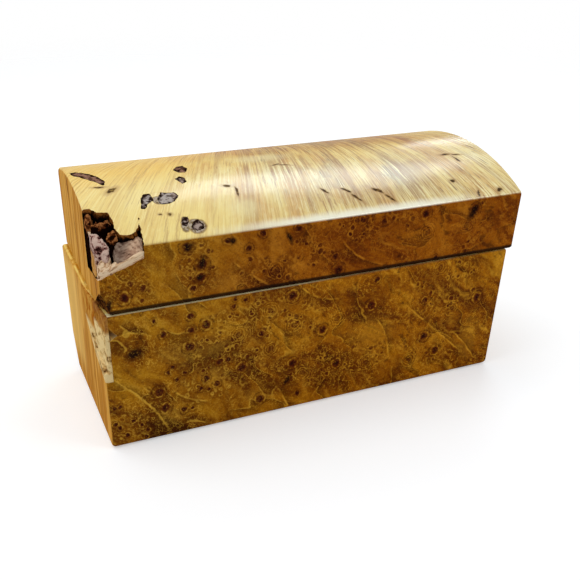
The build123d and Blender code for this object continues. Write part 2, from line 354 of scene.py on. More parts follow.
def mark(on, right, up, length, width, angle):
    """How near a small mark is: below 1 inside it. It has its place on that plane, its length
    and width, and its slant in degrees."""
    turn = {"Vector": on, "Center": (right, up, 0), "Angle": math.radians(angle)}
    level = start.node("VectorRotate", {"rotation_type": "Z_AXIS", "invert": True}, turn)
    shrunk = (2 / length, 2 / width, 0.67)
    return (level * shrunk).away((right * shrunk[0], up * shrunk[1], 0))


def marked(spots, on):
    """How near the nearest of those marks is."""
    return least(mark(on, *spot) for spot in spots)


eye = least(nearest(spots) / size for size, spots in eyes.items())
swirl = nearest(swirls) / swirl_size

# The figure runs down to the right, so it is stretched along that slant, and it bends
# round the eyes and swirls.
slant = math.radians(-36)
run = x * math.cos(slant) + z * math.sin(slant)
rise = z * math.cos(slant) - x * math.sin(slant)
bend = eye.less(2.5) * 1.3 + swirl.less(1.6) * 3.2
flow = start.joined(run * 0.42, y * 0.25, rise + bend * 0.4) + wide_warp + fine_warp * 0.4
tone = flow.noise(15, 5.0, 0.6)
tones = [(0.32, deep_brown), (0.43, brown), (0.51, amber), (0.6, olive), (0.74, honey)]
front = tone.ramp(tones)

# Folds in the grain shine like satin: pale along one side, dark along the other. They are
# wide and smooth to the right and fine to the left.
calm = x.rise(-15, 30)
folded = flow + fine_warp * 0.5
folds = folded.noise(8, 3.0, 0.55) - (folded + (0.6, 0, 1.1)).noise(8, 3.0, 0.55)
front = front.mix(honey, folds.rise(0.015, 0.16) * (calm * 0.45 + 0.35))
front = front.mix(deep_brown, folds.rise(-0.015, -0.16) * (calm * 0.35 + 0.45))

# Broad darker and paler places
darker = ((10, 65, 62, 9, 0), (3, 55, 22, 9, -10), (-65.3, 44.5, 12, 5, 0), (-7, 33, 14, 9, 0),
          (26.7, 43.1, 14, 7, 0), (-66, 31, 8, 8, 20), (47, 24.5, 32, 5, -26),
          (-27, 20, 10, 9, 40))
paler = ((-46, 32, 24, 9, 0), (-38.1, 20.7, 9, 8, 0), (-53.6, 8.9, 11, 8, 0), (64, 14, 9, 22, 0),
         (-23.6, 8.7, 10, 8, 0), (-33, 54, 12, 8, 0), (20, 25, 20, 14, -15))
dark_figure = (0.72, 0.62, 0.55, 1)
front = front.shade(dark_figure, marked(darker, flat_front).rise(1.35, 0.3))
front = front.mix(honey, marked(paler, flat_front).rise(1.35, 0.3) * 0.24)

# Long curved seams, each a pale line with its outer side dark. Each is an arc of the circle
# through three places on it, and fades out beyond the outer two.
seams = (((-71.3, 25), (-62, 14.9), (-55.6, 3.4)), ((-52.8, 17.6), (-48.1, 13.7), (-41.4, 11.5)),
         ((-72.5, 40.5), (-69.5, 41.9), (-59.6, 39.4)), ((-51.1, 3.5), (-46.6, 4.3), (-42.5, 2.3)),
         ((-16.1, 33.7), (-13.6, 29.8), (-12.8, 26.2)), ((-16.4, 11), (-13.3, 5.9), (-12.1, 2.3)),
         ((-32.6, 61.1), (-26.2, 55.5), (-20, 50.7)), ((5.5, 62.8), (13.2, 55.4), (23, 51.1)),
         ((-8, 47.7), (-4.1, 44.5), (6.6, 41.2)), ((23.1, 28.7), (26.5, 22.6), (28.4, 13.2)),
         ((38.7, 29), (47.4, 21.2), (61.6, 8.4)), ((55.5, 19), (62.1, 12.4), (67.9, 4.6)))
lightly = slab + fine_warp * 0.3 + tiny_warp * 0.3
seam_line, seam_shade = None, None
for first, middle, last in seams:
    first, middle, last = [Vector(point) for point in (first, middle, last)]
    near_side, far_side = middle - first, last - middle
    turn = near_side.x * far_side.y - near_side.y * far_side.x
    along = (last - first).dot(far_side) / (2 * turn)
    centre = first + near_side / 2 + Vector((-near_side.y, near_side.x)) * along
    gap = lightly.away((centre.x, 0, centre.y)) - (first - centre).length
    reach = max(near_side.length, far_side.length)
    there = lightly.away((middle.x, 0, middle.y)).rise(reach * 1.1, reach * 0.6)
    line = abs(gap).rise(0.5, 0.1) * there
    shade = gap.rise(0, 0.4) * gap.rise(3.2, 0.4) * there
    seam_line = line if seam_line is None else seam_line.more(line)
    seam_shade = shade if seam_shade is None else seam_shade.more(shade)
front = front.mix(deep_brown, seam_shade * 0.5)
seam_breaks = (place + (17, 0, 0)).noise(4.5, 2.0).rise(0.3, 0.56)
front = front.mix(honey, seam_line * seam_breaks * 0.75)

# Thin broken seams in between
stretched = start.joined(run * 0.45 + bend * 0.3, y * 0.3, rise)
plates = stretched + wide_warp * 0.5 + fine_warp * 0.22
broken = place.noise(2.2, 2.0)
seed = 31.0
level = (plates + (seed, seed, seed)).noise(11, 1.5, 0.4) - 0.5
there = (place + (seed, 0, 0)).noise(13, 1.0).rise(0.44, 0.6)
front = front.mix(deep_brown, level.rise(-0.004, 0.004) * level.rise(0.1, 0.0) * there * 0.55)
front = front.mix(honey, abs(level).rise(0.007, 0.002) * there * broken.rise(0.3, 0.5) * 0.55)

# Fine curled threads
bent = start.joined(x + bend, y * 0.5, z - bend) + fine_warp + tiny_warp * 0.6
threads = bent.noise(2.3, 3.0, 0.6)
curly = bent.noise(12, 1.0).rise(0.42, 0.56) * 0.7 + 0.3
front = front.mix(honey, abs(threads - 0.52).rise(0.03, 0.0) * curly * 0.6)
front = front.mix(deep_brown, threads.rise(0.42, 0.28) * curly * 0.7)

# Clusters of tiny eyes: the middle of each on the front, and its reach to the side and up.
# Each tiny eye is a tube that runs back into the block.
clusters = ((-36, 32, 15, 12), (-41, 17, 12, 7), (-69, 8, 6, 6), (7, 15, 22, 7), (-43, 61, 6, 9),
            (-14, 58, 18, 7), (18, 66, 16, 5), (58, 61, 8, 9), (50, 40, 14, 13),
            (43, 13, 11, 7), (-19, 34, 20, 13), (-64, 55, 6, 5))
crowd = least(((slab + fine_warp - (right, 0, up)) * (1 / width, 0.05, 1 / height)).length()
              for right, up, width, height in clusters)
inner = place.noise(15, 1.0)
crowded = crowd.rise(1.3, 0.7).more(inner.rise(0.54, 0.64) * y.rise(-20, 10))
grouped = (slab + fine_warp * 0.5).noise(5.5, 1.0).rise(0.46, 0.58)
front = front.mix(brown, crowded * grouped * 0.5)
tubes = start.joined(x, y * 0.12, z) + tiny_warp * 0.8
for size, share in ((3.0, 0.75), (1.9, 0.8)):
    near = tubes.cells(size)
    chance = tubes.cells(size, output="Color")
    reach = near / (chance.part("Red") * 0.5 + 0.35)
    kept = chance.part("Green").rise(share, share - 0.06)
    wanted = kept * crowded * (grouped * 0.85 + 0.15)
    front = front.mix(honey, reach.rise(2.1, 1.5) * reach.rise(1.0, 1.5) * wanted * 0.55)
    front = front.mix(maroon, reach.rise(1.25, 0.7) * wanted * 0.8)

# Rings round the swirls, then the eyes, each with a pale rim and a dark halo
rings = abs((swirl * 4.5 + broken * 1.2).fraction() - 0.5)
ringed = rings.rise(0.3, 0.5) * swirl.rise(1.1, 0.5) * broken.rise(0.4, 0.55)
front = front.mix(honey, ringed * 0.6)
front = front.mix(deep_brown, rings.rise(0.2, 0.0) * swirl.rise(1.1, 0.5) * 0.6)
front = front.mix(maroon, swirl.rise(0.42, 0.05) * 0.6)
patchy = place.noise(0.9, 2.0)
rim = eye.rise(0.95, 1.15) * eye.rise(1.5, 1.2) * broken.rise(0.47, 0.6)
halo = eye.rise(1.4, 1.6) * eye.rise(1.9, 1.7) * broken.rise(0.56, 0.44)
front = front.mix(brown, eye.rise(2.6, 1.0) * 0.55).mix(honey, rim * 0.5)
front = front.mix(deep_brown, halo * 0.6)
front = front.mix(maroon, eye.rise(1.1, 0.7) * (patchy.rise(0.75, 0.45) * 0.4 + 0.55))
front = front.mix(eye_black, eye.rise(0.8, 0.25) * patchy.rise(0.66, 0.45) * 0.75)

# Black knots and cracks in the front, and fine specks
knots = ((-73.6, 53.2, 6.5, 2.6, 100), (-65.2, 34.6, 4.8, 3.4, 22), (-13.1, 66.1, 3.8, 1.3, -66),
         (-42.3, 61.9, 3.4, 1.9, 80), (-43.1, 57, 2.6, 1.5, 20), (56.8, 65.6, 5.2, 2.4, 55),
         (-46.4, 67.8, 3, 2.4, 20), (-32.2, 67.5, 2, 2, 0), (-12.3, 12.4, 3.4, 1.6, 60),
         (-71.8, 52, 5, 1.8, 70))
speck_stain = (0.56, 0.46, 0.42, 1)
knot = marked(knots, flat_front)
front = front.mix(deep_brown, knot.rise(1.9, 1.0) * 0.6)
front = front.mix(eye_black, knot.rise(1.15, 0.6) * (patchy.rise(0.7, 0.4) * 0.35 + 0.6))
speck = place.noise(0.55, 2.0, 0.6)
front = front.shade(speck_stain, speck.rise(0.5, 0.3) * 0.65)
front = front.mix(honey, speck.rise(0.58, 0.72) * 0.3)

# The wood is redder towards the right, and redder still over the lid's front. The lid's under
# edge is painted near black in the joint: painted shade in the crease between lid and base.
right_stain = (1.0, 0.8, 0.4, 1)
lid_stain = (0.74, 0.56, 0.5, 1)
joint_shade_colour = colour(22, 8, 2)
joint_foot = (49.0, 49.2)
joint_head = (51.1, 50.3)
front = front.shade(right_stain, x.rise(-50, 10) * 0.8)
front = front.shade(lid_stain, z.rise(48, 50) * (x.rise(-60, -20) * 0.8 + 0.2))
# Painted shade: the lid's under edge, in the joint, near black.
joint_shade = z.rise(*joint_head) * z.rise(*joint_foot)
front = front.mix(joint_shade_colour, joint_shade * 0.92)

# The top's streaks lean to the right and fan out towards the back. Broad clouds of colour lie
# under them, gold at the back left and greyer at the front right.
straw = colour(240, 216, 134)
cream = colour(250, 240, 182)
gold = colour(240, 194, 84)
gold_and_painted_light = colour(255, 229, 132)
ochre = colour(218, 174, 92)
tan = colour(176, 132, 70)
grey_brown = colour(148, 136, 110)
umber = colour(104, 62, 28)
hair_stain = (0.68, 0.54, 0.34, 1)
left_stain = (1.0, 0.98, 0.9, 1)
crown_shade = (0.98, 0.88, 0.62, 1)
back_shade = (0.72, 0.54, 0.32, 1)
drawn_stain = (0.6, 0.44, 0.26, 1)
smudge_stain = (0.76, 0.66, 0.54, 1)
streak_lean = 0.16
streak_fan = 0.006
across_top = y - front_y
streak = (x - across_top * streak_lean) / (1 - across_top * streak_fan)
grain = start.joined(streak, y * 0.05, z * 0.1) + tiny_warp * 0.18 + fine_warp * 0.16
clouds = (start.joined(streak * 0.8, y * 0.3, z * 0.3) + fine_warp).noise(11, 3.0, 0.6)
top = clouds.ramp([(0.3, cream), (0.48, straw), (0.62, ochre), (0.76, tan)])
golden = (x - y * 2).rise(-30, -62) * place.noise(16, 2.0).rise(0.3, 0.55)
top = top.mix(gold, golden * 0.75)
dusk = x.rise(-20, 12) * x.rise(52, 34) * y.rise(-30, -14)
dusky = (start.joined(streak * 0.7, y * 0.5, z * 0.3) + fine_warp).noise(14, 3.0, 0.6)
top = top.mix(grey_brown, dusk * dusky.rise(0.4, 0.62) * 0.75)
bands = grain.noise(4.5, 2.0, 0.5)
top = top.mix(tan, bands.rise(0.5, 0.68) * (x.rise(-50, 0) * 0.35 + 0.25))
lines = grain.noise(0.95, 3.0, 0.6)
strong = place.noise(17, 1.0).rise(0.38, 0.6) * 0.6 + 0.4
top = top.mix(cream, lines.rise(0.48, 0.37) * strong * 0.9)
top = top.mix(tan, lines.rise(0.52, 0.65) * strong * 0.85)
hair = (start.joined(streak, y * 0.04, z * 0.08) + tiny_warp * 0.12).noise(0.5, 2.0, 0.5)
top = top.shade(hair_stain, hair.rise(0.51, 0.62) * (x.rise(-20, 30) * 0.45 + 0.4))
top = top.mix(cream, hair.rise(0.46, 0.34) * 0.35)
top = top.shade(left_stain, x.rise(0, -40))
# The top's left is a brighter gold: partly the wood's own colour and partly painted light.
top = top.mix(gold_and_painted_light, x.rise(-20, -48) * (lines.rise(0.66, 0.5) * 0.35 + 0.65) * 0.56)
# Painted shade: the top turns darker and more golden towards the back of the dome.
top = top.shade(crown_shade, y.rise(-9, 6))
# Painted shade along the dome's far back, strongest from the middle to the right.
back_shade_where = y.rise(4, 16) * (x.rise(-44, 0) * 0.8 + 0.2) * x.rise(70, 50)
top = top.shade(back_shade, back_shade_where * 0.8)
drawn_lines = grain.noise(1.6, 3.0, 0.6).rise(0.5, 0.62)
drawn_where = y.rise(-4, 8) * x.rise(-20, 0) + y.rise(-14, -20) * dusk * 0.8
top = top.shade(drawn_stain, drawn_lines * drawn_where * 0.7)
flat_top = start.joined(x, y, 0.0) + tiny_warp * 0.7
smudges = ((17, -24, 48, 13, 0), (44, -12, 12, 10, 30))
smudged = marked(smudges, flat_top).rise(1.2, 0.3)
top = top.shade(smudge_stain, smudged * (bands.rise(0.3, 0.55) * 0.7 + 0.3))
paler_where = ((-8, 7, 22, 9, 0), (-25, -22, 12, 9, 0))
top = top.mix(cream, marked(paler_where, flat_top).rise(1.3, 0.3) * 0.4)
short_grain = start.joined(streak * 1.1, y * 0.13, z * 0.2) + tiny_warp * 0.3
ticks = short_grain.noise(1.5, 2.0, 0.6)
sparse = place.noise(14, 1.0).rise(0.46, 0.6) * x.rise(-30, 5)
top = top.mix(umber, ticks.rise(0.6, 0.74) * sparse * 0.75)

# Small cracks and bark spots in the lid's top. Between these heights its finish gives way to
# that of the base's rim, which has none of them.
cracks = ((-26.6, -10.9, 2.8, 1.2, -15), (-24.5, -14.4, 5.2, 0.8, 80), (-5, -0.4, 3.2, 0.7, 20),
          (-2.2, -1.4, 4, 0.7, -20), (59.4, -6.9, 4.2, 1.2, 0), (63.6, -7.8, 3.4, 0.9, -10),
          (61.8, -10.6, 4.2, 0.9, 100), (52.7, -22.2, 1.9, 1.4, 0), (68.4, -28.7, 2.6, 1.4, 20),
          (4.3, -19.3, 3.6, 1, 120), (11.8, -20.4, 3.8, 1, 140), (13.9, -24, 4.4, 1, 125),
          (22.8, -22.2, 4.2, 1.3, 140), (25.6, -26, 4.2, 1, 125), (59.4, -28.9, 2.6, 1, 70),
          (-62.8, -5.9, 4.2, 1.7, 40), (-66, -3, 3.2, 1.1, -10), (-48.8, -21.2, 1.2, 1, 0),
          (-51.8, -20.6, 1, 0.8, 0))
stains = ((-45.5, -25.8, 5.6, 2.5, 76), (-42.2, -26.9, 5.3, 5, 0), (-50.3, -14.2, 3.4, 3.8, 20))
crack_brown = colour(58, 34, 20)
stain_dark = colour(96, 78, 66)
stain_pale = colour(176, 164, 156)
rim_heights = (54, 52)
stain = marked(stains, flat_top).more(z.rise(*rim_heights) * 5)
grey_stain = tint(start, stain_dark).mix(stain_pale, patchy.rise(0.4, 0.56))
top = top.mix(grey_stain, stain.rise(1.12, 0.92) * 0.85)
top = top.mix(umber, stain.rise(1.25, 1.08) * stain.rise(0.84, 0.98) * 0.55)
crack = marked(cracks, flat_top).more(z.rise(*rim_heights) * 5)
top = top.mix(tan, crack.rise(2.6, 1.2) * 0.5)
top = top.mix(crack_brown, crack.rise(1.25, 0.7) * (patchy.rise(0.7, 0.4) * 0.4 + 0.55))

# Painted highlights run along the lid's rounded front edge and the base's rim, front and left.
# The lid's left end is sawn out of square: it runs in by that much of the way to the back.
end_skew = 0.0145
edge_highlight_colour = colour(255, 253, 228)
rim_brown = colour(222, 186, 120)
left_rim_highlight = colour(255, 226, 128)
front_rim_highlight = colour(255, 242, 190)
# Painted highlight along the lid's rounded front edge.
front_edge_highlight = (y + place.noise(3, 3.0) * 1.2).rise(-26.8, -29.8) * z.rise(56, 60)
top = top.mix(edge_highlight_colour, front_edge_highlight * x.rise(-46, -6) * x.rise(66, 34) * 0.95)
rim_clouds = place.noise(5, 3.0).rise(0.35, 0.6) * 0.8 + 0.2
top = top.shade(rim_brown, z.rise(*rim_heights) * y.rise(-29, -26) * rim_clouds)
low = z.rise(*rim_heights)
left_rim = low * (x - across_top * end_skew).rise(-74.4, -74.8)
# Painted highlight along the base's rim at the left end.
top = top.mix(left_rim_highlight, left_rim * place.noise(4, 3.0).rise(0.3, 0.55) * 0.9)
# Painted highlight along the base's rim at the front, under the lid's edge.
front_rim = low * y.rise(-28.4, -29.4) * x.rise(60, -10)
top = top.mix(front_rim_highlight, front_rim * 0.95)

# End grain: growth lines that run down both ends, and a few cracks in the left one
end_gold = colour(222, 166, 76)
end_amber = colour(190, 128, 44)
end_brown = colour(134, 80, 26)
end_painted_sheen = colour(255, 214, 124)
end_crack_dark = colour(60, 30, 12)
end_stain = (0.94, 0.86, 0.7, 1)
upright = start.joined(x * 0.1, y + z * 0.12, z * 0.05)
layers = upright + wide_warp * 0.16 + fine_warp * 0.1
growth = layers.noise(3.4, 2.0, 0.5)
end = tint(start, end_gold).mix(end_amber, growth.rise(0.38, 0.58))
end = end.mix(end_brown, layers.noise(1.1, 3.0, 0.6).rise(0.56, 0.72) * 0.8)
end = end.shade(end_stain, (layers * (1, 0.4, 1)).noise(6, 2.0).rise(0.45, 0.65))
# Painted sheen: the base's ends are lighter towards the back.
end = end.mix(end_painted_sheen, y.rise(-4, 14) * z.rise(52, 44) * z.rise(4, 16) * 0.5)
end_cracks = ((11.6, 76.6, 6.5, 1.1, 82), (-26, 57, 12, 0.7, 84),
              (-22.5, 66, 9, 0.6, 80), (4, 64, 10, 0.5, 86))
flat_end = start.joined(y, z, 0.0) + tiny_warp * 0.5
end_crack = marked(end_cracks, flat_end).more(x.rise(-66, -60) * 5)
end = end.mix(end_brown, end_crack.rise(2.4, 1.2) * 0.6)
end = end.mix(end_crack_dark, end_crack.rise(1.2, 0.6) * 0.8)

# Which of the three shows, by the way that the surface faces. The base's eased rim still shows
# the front. The lid's top is polished, but not in its cracks.
upward = (facing.axis("Z") - z.rise(51, 50) * 0.28).rise(0.35, 0.7)
rounded = facing.axis("Z").rise(0.99, 0.93) * z.rise(53, 50) * x.rise(-22, 16)
upward = upward * (1 - rounded * 0.85)
sideways = abs(facing.axis("X")).rise(0.5, 0.85)
front.mix(end, sideways).mix(top, upward).into(burl_shader, "Base Color")
polish = upward * z.rise(50, 54) * (1 - y.rise(-12, 14) * 0.65)
polish = polish * crack.rise(0.7, 1.4) * stain.rise(0.9, 1.3) + front_rim * upward
(polish * 0.9 + 0.04).into(burl_shader, "Coat Weight")
dress("base_block", burl)


# ---- Bark ----
# Down the base's front left corner the log's own face was left, with a thin skin of raw
# bark on it. It is torn and pitted, and its upper part was rubbed smooth with the base.

mm = 0.001
weld = 0.001 * mm


def crag(place, size, seed):
    """Rough broken noise from about -1 to 1."""
    return noise.fractal(place / size + Vector((seed, seed * 2.3, seed * 5.1)), 0.9, 2.0, 4)


def bark_finish(name, shades, roughness=0.8, lean=0.0, drawn=1.0, mottling=0.9):
    """Weathered bark: pale where it stands out and dark in its cracks and hollows, partly its own
    colour and partly painted shade, with fine pits. Its fibres may lean, and be drawn out along
    that lean. Its colour can be worked on further."""
    pale, middle, dark = [colour(*shade) for shade in shades]
    constants = {"Roughness": roughness, "Specular IOR Level": 0.0}
    made, shader, begin = material(name, constants)
    spot = begin.on_piece()
    # A value on its points: the bark's relief, and painted shade where a piece darkens its hollows.
    paler_where = begin.node("Attribute", {"attribute_name": "proud"}, {}, "Fac")
    turned = begin.node("Mapping", {}, {"Vector": spot, "Rotation": (0, math.radians(lean), 0)})
    fibres = turned * (drawn, 1, 1)
    mottle = fibres.noise(1.6, 4.0, 0.65)
    fine = fibres.noise(0.45, 3.0, 0.7)
    height = paler_where + (mottle - 0.5) * mottling + (fine - 0.5) * 0.35
    skin = height.ramp([(0.18, dark), (0.4, middle), (0.62, pale)])
    skin = skin.shade(dark, fine.rise(0.4, 0.28) * 0.7)
    pits = {"Height": fine + mottle * 0.7, "Distance": 0.0004, "Strength": 0.6}
    begin.node("Bump", {}, pits).into(shader, "Normal")
    return made, shader, skin, spot


def gridded(shape, chosen, low, high, step):
    """Cuts the chosen faces of a shape along planes that far apart, in metres."""
    for axis in range(3):
        across = Vector([float(axis == other) for other in range(3)])
        for count in range(1, math.ceil((high[axis] - low[axis]) / step)):
            faces = [face for face in shape.faces if chosen(face)]
            geometry = list({part for face in faces for part in (*face.verts, *face.edges, face)})
            cut = across * (low[axis] + count * step)
            bmesh.ops.bisect_plane(shape, geom=geometry, dist=0.01 * mm, plane_co=cut,
                                   plane_no=across)
    bmesh.ops.triangulate(shape, faces=[face for face in shape.faces if chosen(face)])


def merged(node):
    """A copy of a CAD piece's mesh with its loose corners joined."""
    shape = bmesh.new()
    shape.from_mesh(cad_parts[node].data)
    bmesh.ops.remove_doubles(shape, verts=shape.verts, dist=weld)
    return shape


def finished(name, shape, body, slot, *finishes):
    """A smooth-shaded piece made from a shape, that rides on a body."""
    for face in shape.faces:
        face.smooth = True
    data = bpy.data.meshes.new(name)
    shape.to_mesh(data)
    for finish in finishes:
        data.materials.append(finish)
    piece = bpy.data.objects.new(name, data)
    bpy.context.scene.collection.objects.link(piece)
    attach(piece, body)
    return piece


def clamped(share):
    """That share, kept between 0 and 1."""
    return max(0.0, min(1.0, share))


raw_shades = ((240, 212, 152), (204, 164, 100), (92, 58, 26))
rubbed_amber, rubbed_stain = colour(176, 118, 40), colour(200, 158, 96)
bared_gold, bared_stain = colour(206, 150, 66), colour(206, 160, 100)
raw_bark, raw_shader, skin, spot = bark_finish("raw_bark", raw_shades)
spot_x, spot_y, spot_z = [spot.axis(letter) for letter in "XYZ"]
rubbed = spot_z.rise(42.2, 44.2) * spot_y.rise(-12, -17)
smears = spot.noise(2.4, 4.0, 0.65).rise(0.4, 0.6)
skin = skin.mix(tint(skin, rubbed_amber).shade(rubbed_stain, smears), rubbed * 0.92)
ragged = spot_y - spot_z * 0.18 + (spot.noise(3, 3.0) - 0.5) * 2.5
bared = ragged.rise(-27.6, -26.4) * spot_z.rise(37.5, 40.5)
threads = (spot * (1, 1, 0.2)).noise(1.6, 3.0).rise(0.4, 0.6)
skin = skin.mix(tint(skin, bared_gold).shade(bared_stain, threads), bared)
skin.into(raw_shader, "Base Color")

block_end = -75 * mm
bark_step = 0.7 * mm
rubbed_above = 43.5
rubbed_before = -15
rubbed_share = 0.3
bark_swell = 0.25
bark_relief = 0.5
shape = merged("base_bark")
low, high = [Vector(corner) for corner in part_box("base_bark")]
gridded(shape, lambda face: True, low, high, bark_step)
proud = shape.verts.layers.float.new("proud")
bmesh.ops.recalc_face_normals(shape, faces=shape.faces)
for vert in shape.verts:
    spot = vert.co * 1000
    rough = crag(spot * 0.9, 3.4, 4.4) * 0.6 + crag(spot, 1.0, 9.2) * 0.4
    # Pale where the skin stands out, dark in its hollows: partly its colour, partly painted shade.
    vert[proud] = clamped(0.62 + rough * 0.8)
    if vert.normal.x < -0.6:
        smoothed = spot.z > rubbed_above and spot.y < rubbed_before
        push = (bark_swell + rough * bark_relief) * (rubbed_share if smoothed else 1.0)
        vert.co.x = max(vert.co.x - push * mm, block_end)
base_skin = finished("bark_skin", shape, "base", "bark", raw_bark)
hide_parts("base_bark")


# ---- The felt linings ----
# Dark wool felt is cut to the two hollows with rounded corners, and glued to the floor of the
# base and to the inside of the lid. Its face isn't quite flat, and its edges are soft.

felt, felt_shader, start = material("felt", {
    "Roughness": 0.95, "Sheen Weight": 0.3, "Specular IOR Level": 0.1})
place = start.on_piece()
wool = place.noise(0.7, 4.0, 0.75)
flock = (place * (1, 1, 0.3)).noise(3.5, 3.0, 0.6)
skin = tint(start, colour(26, 30, 30)).mix(colour(58, 62, 60), wool.rise(0.4, 0.7))
skin.mix(colour(38, 40, 40), flock).into(felt_shader, "Base Color")
nap = {"Height": wool, "Distance": 0.0003, "Strength": 0.7}
start.node("Bump", {}, nap).into(felt_shader, "Normal")

felt_length = 0.1244
felt_width = 0.0434
felt_corner = 0.0057
felt_thickness = 1.28 * mm
felt_lift = 0.11 * mm
felt_wave = 0.06 * mm
felt_edge = 0.3 * mm
felt_half = Vector((felt_length / 2, felt_width / 2))
for node, body, name, onto in (("base_lining", "base", "base_felt", "base_block"),
                               ("lid_lining", "lid", "lid_felt", "lid_shell")):
    low, high = [Vector(corner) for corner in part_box(node)]
    middle = (low + high) / 2
    shape = bmesh.new()
    bmesh.ops.create_grid(shape, x_segments=72, y_segments=26, size=0.5)
    for vert in shape.verts:
        flat = Vector((vert.co.x * felt_length, vert.co.y * felt_width))
        inner_x, inner_y = felt_half.x - felt_corner, felt_half.y - felt_corner
        corner = Vector((abs(flat.x) - inner_x, abs(flat.y) - inner_y))
        if corner.x > 0 and corner.y > 0:
            corner = corner.normalized() * max(corner)
            flat.x = math.copysign(inner_x + corner.x, flat.x)
            flat.y = math.copysign(inner_y + corner.y, flat.y)
        wave = noise.noise(Vector((flat.x, flat.y, 0)) * 60) * felt_wave
        vert.co = Vector((middle.x + flat.x, middle.y + flat.y, low.z + felt_lift + wave))
    bmesh.ops.solidify(shape, geom=shape.faces[:], thickness=-felt_thickness)
    bmesh.ops.recalc_face_normals(shape, faces=shape.faces)
    rims = [edge for edge in shape.edges if edge.calc_face_angle(0) > 1.0]
    bmesh.ops.bevel(shape, geom=rims, offset=felt_edge, affect="EDGES", segments=2, profile=0.5,
                    material=-1)
    lining = finished(name, shape, body, "felt", felt)
    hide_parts(node)


# ---- The hinges ----
# Two brass butt hinges are let into the rims at the back, each with a brass pin through its
# three knuckles and two slotted screws in each leaf. Handling has dulled them a little.

brass, brass_shader, start = material("brass", {"Roughness": 0.3, "Metallic": 1.0})
place = start.on_piece()
drawn = (place * (0.15, 1, 1)).noise(0.25, 3.0, 0.6)
dull = place.noise(2.5, 3.0, 0.6)
skin = tint(start, colour(214, 172, 92)).mix(colour(150, 108, 48), dull.rise(0.45, 0.75) * 0.7)
skin.into(brass_shader, "Base Color")
(drawn * 0.2 + dull * 0.25 + 0.08).into(brass_shader, "Roughness")
scratches = {"Height": drawn, "Distance": 0.00005, "Strength": 0.5}
start.node("Bump", {}, scratches).into(brass_shader, "Normal")
for end in ("left", "right"):
    for part in ("base_leaf", "lid_leaf", "hinge_pin"):
        dress(f"{end}_{part}", brass)

screw_head = 1.7 * mm
screw_edge = 0.1 * mm
screw_cone = 0.9 * mm
screw_neck = 0.9 * mm
screw_tip = 0.15 * mm
screw_length = 7 * mm
screw_back = 26.7 * mm
screw_aside = 7 * mm
screw_taper = 0.75
hinge_out = 43 * mm
base_rim = 49.0 * mm
lid_rim = 49.2 * mm
slot_width = 0.5 * mm
slot_depth = 0.4 * mm
outline = ((0, 0), (screw_head - screw_edge, 0), (screw_head, -screw_edge),
           (screw_neck, -screw_cone), (screw_neck, -screw_taper * screw_length),
           (screw_tip, -screw_length), (0, -screw_length))
for body, rim, up in (("base", base_rim, 1), ("lid", lid_rim, -1)):
    for end, middle in (("left", -hinge_out), ("right", hinge_out)):
        for number, offset in enumerate((-screw_aside, screw_aside), 1):
            shape = bmesh.new()
            verts = [shape.verts.new((out, 0, down)) for out, down in outline]
            edges = [shape.edges.new(pair) for pair in zip(verts, verts[1:])]
            bmesh.ops.spin(shape, geom=verts + edges, cent=(0, 0, 0), axis=(0, 0, 1),
                           angle=math.tau, steps=48, use_merge=True)
            bmesh.ops.remove_doubles(shape, verts=shape.verts, dist=weld)
            bmesh.ops.recalc_face_normals(shape, faces=shape.faces)
            for side in (Vector((0, -1, 0)), Vector((0, 1, 0))):
                everything = shape.verts[:] + shape.edges[:] + shape.faces[:]
                bmesh.ops.bisect_plane(shape, geom=everything, dist=weld,
                                       plane_co=side * slot_width / 2, plane_no=side)
            slotted = [face for face in shape.faces if face.normal.z > 0.9
                       and abs(face.calc_center_median().y) < slot_width / 2]
            sunk = bmesh.ops.extrude_face_region(shape, geom=slotted)
            for part in sunk["geom"]:
                if isinstance(part, bmesh.types.BMVert):
                    part.co.z -= slot_depth
            bmesh.ops.delete(shape, geom=slotted, context="FACES")
            bmesh.ops.recalc_face_normals(shape, faces=shape.faces)
            # Each screw was driven home to an angle of its own.
            turn = Matrix.Rotation(number * 1.1 + middle * 40 + rim, 4, "Z")
            seat = Matrix.Translation((middle + offset, screw_back, rim))
            shape.transform(seat @ Matrix.Diagonal((1, up, up, 1)) @ turn)
            finished(f"{end}_{body}_screw_{number}", shape, body, "brass", brass)


# ---- The magnets ----
# Nickel-plated disc magnets are pressed into both rims near the front and hold the lid shut.
# They carry fine scuffs from being wiped.

nickel, nickel_shader, start = material("nickel", {"Roughness": 0.18, "Metallic": 1.0})
place = start.on_piece()
scuffs = (place * (1, 0.2, 1)).noise(0.6, 4.0, 0.7)
skin = tint(start, colour(208, 206, 200)).mix(colour(150, 146, 140), scuffs.rise(0.5, 0.75))
skin.into(nickel_shader, "Base Color")
(scuffs * 0.3 + 0.05).into(nickel_shader, "Roughness")
for end in ("left", "right"):
    dress(f"{end}_base_magnet", nickel)
    dress(f"{end}_lid_magnet", nickel)


# ---- The lid ----
# A domed block, routed out from below. Its outside is sanded and oiled like the base, and
# only the walls of its void, and of the pockets in its top, are left as they tore.

lid_corner = Vector((-74.1, -31, 49.2))
dome_middle = Vector((7.85, -0.28))
dome_radius = 80.48
torn_right = 40
torn_back = 45
torn_top = 31.4
torn_step = 0.6 * mm
split_head = 8.5
split_back = 12
void_right = 16.6
void_back = 17.8
highest_floor = 18.5
lip_foot = 9
lip_back = 2.6
pocket_floor = 1.2
pocket_depth = 1.8
seam_angle = math.radians(28)
sanded, torn_dark, torn_pale = 0, 1, 2


def from_corner(point):
    """A place in metres as millimetres to the right, back and up from the lid's corner."""
    away = point * 1000 - lid_corner
    away.x -= away.y * end_skew
    return away


def to_frame(place):
    """The same the other way round."""
    back = Vector(place)
    back.x += back.y * end_skew
    return (back + lid_corner) * mm


def lid_top(back):
    """How high the lid's top stands, that far back from its front."""
    across = back + lid_corner.y - dome_middle.x
    return dome_middle.y + math.sqrt(dome_radius ** 2 - across ** 2) - lid_corner.z


def void_floor(right, back):
    """How high the void's floor lies at that place."""
    return 11.8 + 0.36 * right - 0.15 * back


